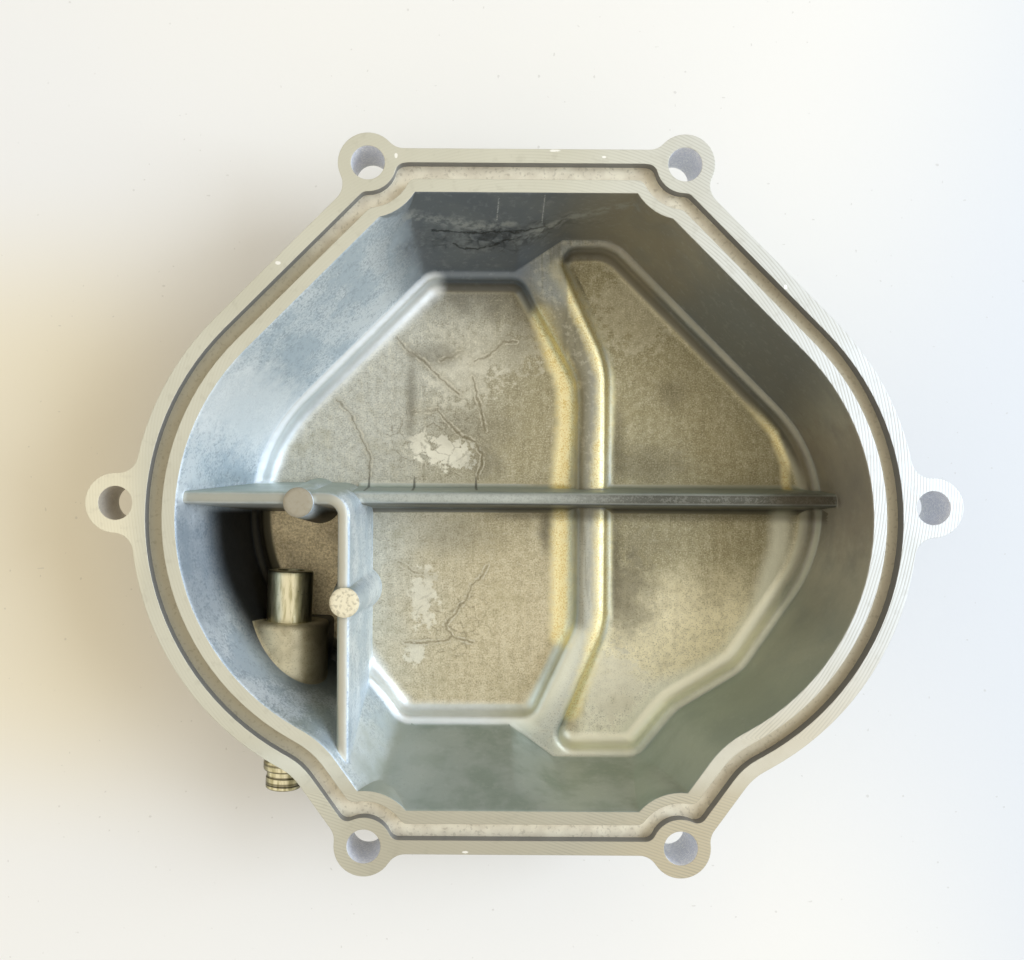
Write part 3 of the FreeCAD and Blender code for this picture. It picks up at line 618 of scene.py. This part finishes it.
def torn(sheet, wall):
    """Lays the torn skin, scratches and pale streaks of the top wall over the walls' colour."""
    shaken = sheet.shaken(sheet.x, sheet.depth, (2.6, 2.1), 3.0, 3.0)
    here = sheet.y.rise(TOP_WALL_Y, TOP_WALL_Y + 3.0)
    tear = sheet.line_gap(shaken, WALL_CRACKS).rise(0.55, 0.10) * here * sheet.mottle.rise(0.36, 0.48)
    flake = sheet.wall_spot(-5.0, 15.6, 16.0, 4.4, sheet.ragged, 0.6) * here
    joint = sheet.net(shaken, 0.42)
    wall.cover(flake * sheet.cloud.rise(0.40, 0.55) * 0.35, linear(140, 146, 150))
    wall.cover(flake * sheet.mottle.rise(0.55, 0.45) * 0.34, linear(60, 64, 70))
    wall.cover(flake * joint.rise(0.16, 0.02) * sheet.cloud.rise(0.62, 0.46) * 0.55, linear(34, 37, 42))
    wall.cover(tear * 0.75, linear(30, 33, 37))
    scratch = sheet.line_gap(sheet.join(sheet.x, sheet.depth, 0.0), WALL_SCRATCHES).rise(0.22, 0.05) * here
    wall.cover(scratch * sheet.fine.rise(0.35, 0.6) * 0.7, linear(196, 200, 204))
    streak = (sheet.line_gap(shaken, WALL_STREAKS) + sheet.ragged * 0.8).rise(2.6, 0.2) * here
    wall.cover(streak * sheet.mottle.rise(0.36, 0.60) * 0.60, linear(172, 177, 178))


def boss_and_crests(sheet, wall):
    """Lays the brassy boss of the tube with painted shade on one side, the rubbed crests of the ribs and a
    painted shadow on the low rib's side that faces -y.
    """
    mottle, fine, depth = sheet.mottle, sheet.fine, sheet.depth
    along, across = sheet.beside_tube()
    drop = sheet.z - TUBE_START[2]
    boss = ((across * across + drop * drop) ** 0.5).rise(9.0, 8.7) * along.rise(10.8, 11.0)
    brass = Coat(sheet, linear(172, 161, 130))
    brass.cover(sheet.cloud.rise(0.35, 0.65), linear(222, 212, 180))
    brass.cover(fine.rise(0.56, 0.70) * 0.30, linear(112, 102, 76))
    wall.cover(boss * 0.9, brass.colour)
    # Painted shade on one side of the boss.
    wall.cover(boss * across.rise(-1.0, -8.0) * 0.60, linear(74, 68, 50))

    low_rib = abs(sheet.y - LOW_RIB_Y).rise(4.5, 3.5)
    crest = depth.rise(21.0, 19.8) * depth.rise(17.0, 18.5) * sheet.nz.rise(0.75, 0.97)
    rubbed = Coat(sheet, linear(172, 177, 170))
    rubbed.cover(sheet.x.rise(-4.0, 30.0), linear(50, 47, 30))
    grit = mottle * 0.5 + fine * 0.5
    rubbed.cover(grit.rise(0.52, 0.42) * 0.12, linear(222, 224, 214))
    rubbed.cover(grit.rise(0.52, 0.62) * 0.25, linear(92, 92, 80))
    wall.cover(crest * 0.85, rubbed.colour)
    end = sheet.spot(63.0, 1.4, 7.0, 1.8, (mottle - 0.5) * 0.8, 0.6) * depth.rise(15.0, 18.0)
    wall.cover(end * 0.65, linear(80, 73, 60))
    # Painted shadow on the low rib's side that faces -y.
    shaded_flank = depth.rise(18.8, 20.0) * depth.rise(33.0, 31.0) * sheet.ny.rise(-0.5, -0.9) * low_rib
    wall.cover(shaded_flank * 0.6, linear(88, 86, 72))
    high_crest = depth.rise(3.6, 3.0) * sheet.nz.rise(0.8, 0.97)
    crest_tone = sheet.blend(sheet.x.rise(-40.0, -37.0), linear(162, 163, 152), linear(190, 186, 170))
    wall.cover(high_crest * 0.75, crest_tone)


def ledge_colour(sheet, wall, brushed):
    """Lays the colours of the ledge round the panels and of the strip between them, with painted shade on
    the ledge in the chamber and along the strip's left side.
    """
    level = sheet.nz.rise(0.6, 0.9) * sheet.depth.rise(26.0, 27.5)
    tone = sheet.blend(sheet.y.rise(-10.0, 20.0), linear(180, 184, 164), linear(150, 149, 134))
    wall.cover(level * sheet.x.rise(24.0, 30.0) * 0.6, tone)
    # Painted shade on the ledge in the chamber.
    wall.cover(level * sheet.chamber * 0.9, linear(44, 40, 28))
    warm = Coat(sheet, linear(204, 204, 190))
    warm.cover(sheet.y.rise(-22.0, 14.0), linear(138, 131, 105))
    warm.cover((sheet.y + sheet.drift * 0.4).rise(43.0, 49.0) * 0.8, linear(160, 164, 160))
    warm.cover(brushed.rise(0.46, 0.66) * sheet.y.rise(-38.0, -20.0) * 0.40, linear(104, 96, 70))
    warm.cover(sheet.mottle.rise(0.50, 0.36) * 0.30, linear(214, 208, 186))
    warm.cover(sheet.fine.rise(0.54, 0.72) * 0.35, linear(84, 78, 58))
    strip = sheet.x.rise(0.0, 6.0) * sheet.x.rise(24.0, 14.0)
    strip = strip * sheet.nz.rise(0.5, 0.9) * sheet.depth.rise(26.0, 28.5)
    wall.cover(strip * 0.9, warm.colour)
    shady = sheet.line_gap(sheet.join(sheet.x, sheet.y, 0.0), STRIP_SIDE).rise(3.4, 0.8)
    wall.cover(strip * shady * 0.55, linear(112, 104, 78))


def paint_highlights_and_shade(sheet, base, side):
    """Lays the painted highlights at the panels' feet, the dark ticks beside the low rib and a painted
    shadow just below it; returns the shine.
    """
    here = sheet.join(sheet.x, sheet.y, 0.0)
    patchy = sheet.grain(2.4, 3.0, 0.7)
    gold_gap = sheet.line_gap(here, on_side(side, GOLD_HIGHLIGHTS)) + (patchy - 0.5) * 1.6
    white_gap = sheet.line_gap(here, on_side(side, WHITE_HIGHLIGHTS)) + (patchy - 0.5) * 1.2
    clear = abs(sheet.y - LOW_RIB_Y).rise(2.0, 2.6)
    deep = sheet.depth
    if side == "both":
        deep = sheet.depth - sheet.y.rise(28.0, 35.0) * sheet.x.rise(13.0, 11.0) * 2.0
    # Painted highlights: gold bands by the strip and white bands by the other sides, where the feet catch
    # the light.
    gold = gold_gap.rise(3.5, 0.4) * deep.rise(26.4, 28.2) * clear
    white = white_gap.rise(4.2, 0.4) * sheet.depth.rise(27.8, 29.4) * clear
    white_tone = sheet.blend(sheet.x.rise(-10.0, 6.0), linear(244, 250, 254), linear(240, 241, 224))
    base.cover(white * 0.85, white_tone)
    if side != "left":
        glint = sheet.line_gap(here, GLINTS).rise(1.7, 0.3) * sheet.depth.rise(28.0, 29.5)
        gold = gold.most(glint * sheet.y.rise(26.0, 12.0) * clear * 0.85)
    glint_grain = (sheet.fine * 0.6 + patchy * 0.4).rise(0.36, 0.56)
    gold_glint_tone = Coat(sheet, linear(242, 220, 150))
    gold_glint_tone.cover(glint_grain, linear(255, 246, 200))
    base.cover((gold * (0.84 + glint_grain * 0.26)).least(1.0), gold_glint_tone.colour)
    ticks = reduce(Signal.most, (sheet.spot(x, 3.6, 0.28, 2.4, 0.0) for x in (-34.0, -23.4, -9.0)))
    base.cover(ticks * 0.7, linear(60, 58, 48))
    # Painted shadow on the floor just below the low rib.
    corner = sheet.y.rise(-4.8, -2.6) * sheet.y.rise(0.0, -0.8) * sheet.x.rise(-12.0, 2.0)
    base.cover(corner * 0.55, linear(74, 67, 47))
    return gold.most(white * 0.8)


def cast_finish(coat, shine=0.0, dull=0.0, over=None):
    """Grainy cast metal of a coat's colour, smoother where it shines and rougher where it is dull."""
    sheet = coat.sheet
    return sheet.finish(
        Base_Color=coat.colour,
        Metallic=0.6 + shine * 0.3 - dull * 0.35,
        Roughness=0.42 + sheet.cloud * 0.14 + dull * 0.2 - shine * 0.08,
        Normal=sheet.relief(sheet.fine * 0.25 + sheet.mottle * 0.7, 0.08, over),
    )


def cast_floor(look, side):
    """Flat floor of the panels on one side of the strip; the left ones are cracked."""
    sheet = CastSheet(side + "_floor")
    brushed = sheet.grain(1.3, 2.0, 0.6, stretch=(1.0, 0.10, 1.0))
    ground = floor_colour(sheet, look, brushed, side)
    pale = 0.0
    if side == "left":
        cracked(sheet, ground)
    else:
        pale = sheet.y.rise(-20.0, -44.0)
    shine = paint_highlights_and_shade(sheet, ground, side)
    return cast_finish(ground, shine, dull=pale)


def cast_ledge(look):
    """Ledges, hollow feet and the strip between the panels."""
    sheet = CastSheet("cast_ledge")
    brushed = sheet.grain(1.3, 2.0, 0.6, stretch=(1.0, 0.10, 1.0))
    wall = wall_colour(sheet)
    boss_and_crests(sheet, wall)
    ledge_colour(sheet, wall, brushed)
    floor = sheet.nz.rise(0.86, 0.97) * sheet.depth.rise(30.5, 32.5)
    wall.cover(floor, floor_colour(sheet, look, brushed, "both").colour)
    # Painted highlight on the hollow feet, and painted shade where they face -y along the panels' top edges.
    foot = sheet.depth.rise(30.2, 31.6) * sheet.nz.rise(0.25, 0.65) * sheet.nz.rise(0.998, 0.94)
    shaded = foot * sheet.ny.rise(-0.1, -0.45)
    wall.cover((foot - shaded) * 0.30, linear(214, 208, 178))
    wall.cover(shaded * 0.75, linear(88, 82, 66))
    shine = paint_highlights_and_shade(sheet, wall, "both")
    return cast_finish(wall, shine, over=sheet.round_edges(look.cast_round))


def cast_walls(look, name, is_torn):
    """Walls and ribs; the top wall is torn."""
    sheet = CastSheet(name)
    wall = wall_colour(sheet)
    if is_torn:
        torn(sheet, wall)
    else:
        boss_and_crests(sheet, wall)
    pad = sheet.z.rise(PAD_HEIGHT - 0.15, PAD_HEIGHT - 0.05) * sheet.nz.rise(0.8, 0.95)
    if not is_torn:
        dirty = sheet.y.rise(-16.0, -8.0)
        sand = Coat(sheet, linear(226, 218, 192))
        sand.cover(dirty, linear(160, 153, 136))
        sand.cover(sheet.grain(0.7, 2.0).rise(0.46, 0.72) * (0.55 - dirty * 0.20), linear(146, 137, 114))
        wall.cover(pad, sand.colour)
    return cast_finish(wall, dull=pad, over=sheet.round_edges(look.cast_round))


def cast_outside(look):
    """Outside of the casting: even grey aluminium with a fine blasted grain."""
    sheet = Sheet("cast_outside")
    cloud = sheet.grain(14.0, 4.0, 0.6)
    fine = sheet.grain(0.5, 3.0, 0.6)
    base = Coat(sheet, linear(188, 188, 182))
    base.cover(cloud.rise(0.3, 0.7), linear(202, 201, 192))
    base.cover(sheet.grain(2.4, 3.0).rise(0.55, 0.72) * 0.10, linear(150, 150, 144))
    base.cover(fine.rise(0.54, 0.70) * 0.16, linear(150, 150, 146))
    return sheet.finish(
        Base_Color=base.colour,
        Metallic=0.6,
        Roughness=0.46 + cloud * 0.12,
        Normal=sheet.relief(fine + sheet.grain(1.8, 2.0), 0.07, sheet.round_edges(look.edge_round * 2)),
    )


def plated_steel(look):
    """Breather tube: turned steel with a yellow-green passivated plating, a painted highlight along its top
    and painted shade on its sides.
    """
    sheet = Sheet("plated_steel")
    along, across = sheet.beside_tube()
    turning = sheet.join(across * 0.4, along * 6.0, sheet.z * 0.4)
    rings = sheet.noise(turning, 1.2, 2.0)
    streaks = sheet.noise(sheet.join(across * 1.6, along * 0.25, sheet.z * 1.6), 0.9, 3.0)
    base = Coat(sheet, opaque(look.plating_colour))
    base.cover(streaks.rise(0.35, 0.65), linear(236, 230, 196))
    base.cover(sheet.grain(0.7, 3.0, 0.7).rise(0.62, 0.70) * 0.4, linear(90, 86, 60))
    # Painted shade on the sides and a painted highlight along the top.
    base.cover(abs(sheet.nz).rise(0.80, 0.35) * 0.60, linear(104, 104, 78))
    base.cover(sheet.nz.rise(0.86, 0.98) * streaks.rise(0.30, 0.55) * 0.60, linear(255, 250, 222))
    base.cover(along.rise(1.2, 0.2) * 0.5, linear(120, 120, 96))
    outer = along.rise(36.0, 38.0)
    base.cover(outer * (along * 4.6).wave().rise(0.0, 0.9) * 0.70, linear(78, 70, 48))
    # Painted shade on the sides of the outer end.
    base.cover(outer * abs(across).rise(2.4, 3.6) * 0.45, linear(70, 66, 52))
    # Painted shade in a fine turned groove near the outer end.
    ring = (along - TUBE_RING).rise(-0.22, -0.05) * (along - TUBE_RING).rise(0.22, 0.05)
    base.cover(ring * 0.9, linear(38, 34, 26))
    rough = 0.24 + streaks * 0.14
    height = rings + sheet.grain(0.8) * 0.8 - ring * 5.0
    return sheet.finish(
        Base_Color=base.colour,
        Metallic=0.95,
        Roughness=rough,
        Normal=sheet.relief(height, 0.03, sheet.round_edges(look.edge_round)),
    )


def table_top(look):
    """Pale matt table, with painted cool light to the right of the cover and a painted warm shadow to its
    left.
    """
    sheet = Sheet("table_top")
    cloud = sheet.grain(160.0, 2.0)
    base = Coat(sheet, opaque(look.table_colour))
    base.cover(cloud.rise(0.3, 0.7), linear(226, 226, 226))
    near = ((sheet.x * sheet.x + sheet.y * sheet.y) ** 0.5).rise(420.0, 170.0)
    # Painted cool light to the right of the cover.
    base.cover((sheet.x - abs(sheet.y) * 0.35).rise(20.0, 120.0) * near, linear(206, 211, 219))
    # Painted warm shadow to the left of the cover.
    warm = sheet.x.rise(-50.0, -110.0) * sheet.y.rise(80.0, 30.0) * sheet.y.rise(-90.0, -40.0)
    base.cover(warm * near * 0.8, linear(228, 218, 192))
    dust = sheet.grain(1.2, 0.0).rise(0.83, 0.86)
    base.cover(dust * 0.25, linear(150, 146, 138))
    return sheet.finish(
        Base_Color=base.colour,
        Roughness=0.55,
        Normal=sheet.relief(sheet.grain(0.8, 2.0), 0.01),
    )


def merged_copy(node, name):
    """Copy of a CAD node with joined triangles, soft over its roundings and crisp at its edges."""
    work = bmesh.new()
    work.from_mesh(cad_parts[node].data)
    bmesh.ops.remove_doubles(work, verts=work.verts, dist=WELD_REACH)
    for face in work.faces:
        face.smooth = True
    for edge in work.edges:
        edge.smooth = edge.is_manifold and edge.calc_face_angle(0.0) < CREASE_ANGLE
    mesh = bpy.data.meshes.new(name)
    piece = bpy.data.objects.new(name, mesh)
    bpy.context.scene.collection.objects.link(piece)
    return piece, work


def even_shading(piece):
    """Keeps flat faces flat beside the roundings."""
    evener = piece.modifiers.new("even_shading", "WEIGHTED_NORMAL")
    evener.weight = 50
    evener.keep_sharp = True


def flood(start, fenced, number, home):
    """Gives a number to every face that is joined to start without crossing a fenced face."""
    home[start] = number
    waiting = [start]
    while waiting:
        face = waiting.pop()
        for edge in face.edges:
            for other in edge.link_faces:
                if other not in home and other not in fenced:
                    home[other] = number
                    waiting.append(other)


def machined_slot(face, centre):
    """Slot of a milled or drilled face, or None for any other."""
    axis = Vector(TUBE_ALONG)
    offset = centre - Vector(TUBE_START)
    outward = offset - axis * offset.dot(axis)
    in_tube_hole = 0 < offset.dot(axis) < TUBE_LENGTH and outward.length < TUBE_HOLE_REACH
    near_bolt = any(math.hypot(centre.x - x, centre.y - y) < BOLT_HOLE_REACH for x, y in BOLTS)
    if face.normal.z > 0.9 and centre.z > JOINT_FACE_Z:
        return MILLED
    if abs(face.normal.z) < 0.3 and near_bolt:
        return DRILLED
    if in_tube_hole and face.normal.dot(outward) < 0:
        return DRILLED
    return None


def inner_slot(face, centre):
    """Slot of a cast face inside the casting."""
    if face.normal.z > 0.9999 and centre.z < FLOOR_Z:
        return LEFT_FLOOR if centre.x < STRIP_X else RIGHT_FLOOR
    if centre.z < LEDGE_Z:
        return LEDGE
    return TORN_WALL if centre.y > TOP_WALL_Y else WALLS


def sort_faces(work):
    """Gives every face of the casting the slot of its material."""
    work.faces.ensure_lookup_table()
    work.normal_update()
    centres = {face: face.calc_center_median() * 1000 for face in work.faces}
    slots = {face: machined_slot(face, centre) for face, centre in centres.items()}
    slots = {face: slot for face, slot in slots.items() if slot is not None}
    home = {}
    groups = 0
    for face in work.faces:
        if face not in slots and face not in home:
            flood(face, slots, groups, home)
            groups += 1
    lowest = [0.0] * groups
    widest = [0.0] * groups
    for face, group in home.items():
        lowest[group] = min(lowest[group], centres[face].z)
        widest[group] = max(widest[group], abs(centres[face].x))
    for face, group in home.items():
        if lowest[group] > -GROOVE_DEPTH - 0.2:
            slots[face] = GROOVE
        elif widest[group] < INSIDE_REACH:
            slots[face] = inner_slot(face, centres[face])
        else:
            slots[face] = OUTSIDE
    for face, slot in slots.items():
        face.material_index = slot


class CoverLook(bpy.types.PropertyGroup):
    flange_colour: bpy.props.FloatVectorProperty(
        name="Joint face", description="Colour of the milled joint face on the warm side", subtype="COLOR",
        size=3, min=0.0, max=1.0, default=linear(206, 205, 190)[:3])
    mill_pitch: bpy.props.FloatProperty(
        name="Milling pitch", description="Distance between milling arcs in millimetres",
        default=0.62, min=0.2, max=3.0)
    edge_round: bpy.props.FloatProperty(
        name="Edge rounding", description="Rounding of the sharp edges in millimetres",
        default=0.18, min=0.0, max=1.0)
    cast_round: bpy.props.FloatProperty(
        name="Cast rounding", description="Rounding of the cast edges in millimetres",
        default=1.5, min=0.0, max=3.0)
    # Scales the stains, pale patches and the painted shade among the dark ovals
    stains_and_shade: bpy.props.FloatProperty(
        name="Stains", description="Strength of the stains on the floor panels", subtype="FACTOR",
        default=1.0, min=0.0, max=1.0)


class TubeLook(bpy.types.PropertyGroup):
    plating_colour: bpy.props.FloatVectorProperty(
        name="Plating", description="Colour of the passivated plating", subtype="COLOR",
        size=3, min=0.0, max=1.0, default=linear(196, 190, 152)[:3])
    edge_round: bpy.props.FloatProperty(
        name="Edge rounding", description="Rounding of the sharp edges in millimetres",
        default=0.15, min=0.0, max=1.0)


class StageLook(bpy.types.PropertyGroup):
    camera_height: bpy.props.FloatProperty(
        name="Camera height", description="Height of the camera above the joint face", unit="LENGTH",
        default=0.2)
    table_colour: bpy.props.FloatVectorProperty(
        name="Table", description="Colour of the table", subtype="COLOR",
        size=3, min=0.0, max=1.0, default=linear(229, 228, 225)[:3])
    room_light: bpy.props.FloatProperty(
        name="Room light", description="Strength of the warm light of the room",
        default=0.87, min=0.0, max=5.0)
    window_light: bpy.props.FloatProperty(
        name="Window light", description="Strength of the cool window light", unit="POWER",
        default=26.0, min=0.0, max=500.0)


class OBJECT_OT_cover_casting(bpy.types.Operator):
    """Dress the casting with its milled, drilled and cast surfaces"""
    bl_idname = "object.cover_casting"
    bl_label = "Cover casting"

    def execute(self, context):
        look = context.scene.cover_look
        piece, work = merged_copy("cover_casting", "casting")
        sort_faces(work)
        work.to_mesh(piece.data)
        work.free()
        materials = {
            MILLED: milled_face(look),
            DRILLED: drilled_metal(look),
            GROOVE: groove_metal(look),
            WALLS: cast_walls(look, "cast_walls", False),
            LEFT_FLOOR: cast_floor(look, "left"),
            OUTSIDE: cast_outside(look),
            LEDGE: cast_ledge(look),
            TORN_WALL: cast_walls(look, "torn_wall", True),
            RIGHT_FLOOR: cast_floor(look, "right"),
        }
        for slot in sorted(materials):
            piece.data.materials.append(materials[slot])
        even_shading(piece)
        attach(piece, "root")
        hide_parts("cover_casting")
        return {"FINISHED"}


class OBJECT_OT_breather_tube(bpy.types.Operator):
    """Dress the plated breather tube"""
    bl_idname = "object.breather_tube"
    bl_label = "Breather tube"

    def execute(self, context):
        look = context.scene.tube_look
        piece, work = merged_copy("breather_tube", "tube")
        work.to_mesh(piece.data)
        work.free()
        piece.data.materials.append(plated_steel(look))
        even_shading(piece)
        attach(piece, "root")
        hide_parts("breather_tube")
        return {"FINISHED"}


class SCENE_OT_cover_stage(bpy.types.Operator):
    """Set up the table, the soft light and the camera"""
    bl_idname = "scene.cover_stage"
    bl_label = "Stage"

    def execute(self, context):
        look = context.scene.stage_look
        work = bmesh.new()
        bmesh.ops.create_grid(work, x_segments=4, y_segments=4, size=TABLE_REACH)
        bmesh.ops.translate(work, verts=work.verts, vec=(0.0, 0.0, CAD_LOW[2]))
        mesh = bpy.data.meshes.new("table")
        work.to_mesh(mesh)
        work.free()
        table = bpy.data.objects.new("table", mesh)
        context.scene.collection.objects.link(table)
        mesh.materials.append(table_top(look))

        lamp = bpy.data.lights.new("window", "AREA")
        lamp.shape = "RECTANGLE"
        lamp.size, lamp.size_y = WINDOW_SIZE
        lamp.energy = look.window_light
        lamp.color = WINDOW_TINT
        window = bpy.data.objects.new("window", lamp)
        window.location = WINDOW_PLACE
        window.rotation_euler = (-Vector(WINDOW_PLACE)).to_track_quat("-Z", "Y").to_euler()
        context.scene.collection.objects.link(window)

        room = bpy.data.worlds.new("room")
        room.use_nodes = True
        sky = room.node_tree.nodes["Background"]
        sky.inputs["Color"].default_value = ROOM_TINT
        sky.inputs["Strength"].default_value = look.room_light
        context.scene.world = room

        lens = bpy.data.cameras.new("camera")
        lens.sensor_width = SENSOR_WIDTH
        lens.lens = LENS_LENGTH
        lens.shift_x, lens.shift_y = LENS_SHIFT
        lens.clip_start = 0.01
        camera = bpy.data.objects.new("camera", lens)
        camera.location = (*CAMERA_XY, look.camera_height)
        camera.rotation_euler = (0.0, 0.0, CAMERA_TURN)
        context.scene.collection.objects.link(camera)
        context.scene.camera = camera
        context.scene.view_settings.view_transform = "Standard"
        return {"FINISHED"}


class VIEW3D_PT_cover(bpy.types.Panel):
    """Lists the pieces of the cover"""
    bl_idname = "VIEW3D_PT_cover"
    bl_label = "Breather cover"
    bl_space_type = "VIEW_3D"
    bl_region_type = "UI"
    bl_category = "Cover"

    def draw(self, context):
        scene = context.scene
        for look, operator in (
            (scene.cover_look, "object.cover_casting"),
            (scene.tube_look, "object.breather_tube"),
            (scene.stage_look, "scene.cover_stage"),
        ):
            box = self.layout.box()
            for name in look.bl_rna.properties.keys():
                if name not in {"rna_type", "name"}:
                    box.prop(look, name)
            box.operator(operator)


CLASSES = (
    CoverLook,
    TubeLook,
    StageLook,
    OBJECT_OT_cover_casting,
    OBJECT_OT_breather_tube,
    SCENE_OT_cover_stage,
    VIEW3D_PT_cover,
)


def register():
    for item in CLASSES:
        bpy.utils.register_class(item)
    bpy.types.Scene.cover_look = bpy.props.PointerProperty(type=CoverLook)
    bpy.types.Scene.tube_look = bpy.props.PointerProperty(type=TubeLook)
    bpy.types.Scene.stage_look = bpy.props.PointerProperty(type=StageLook)


def unregister():
    del bpy.types.Scene.stage_look
    del bpy.types.Scene.tube_look
    del bpy.types.Scene.cover_look
    for item in reversed(CLASSES):
        bpy.utils.unregister_class(item)


def main():
    register()
    bpy.ops.scene.cover_stage()
    bpy.ops.object.cover_casting()
    bpy.ops.object.breather_tube()


if __name__ == "__main__":
    main()
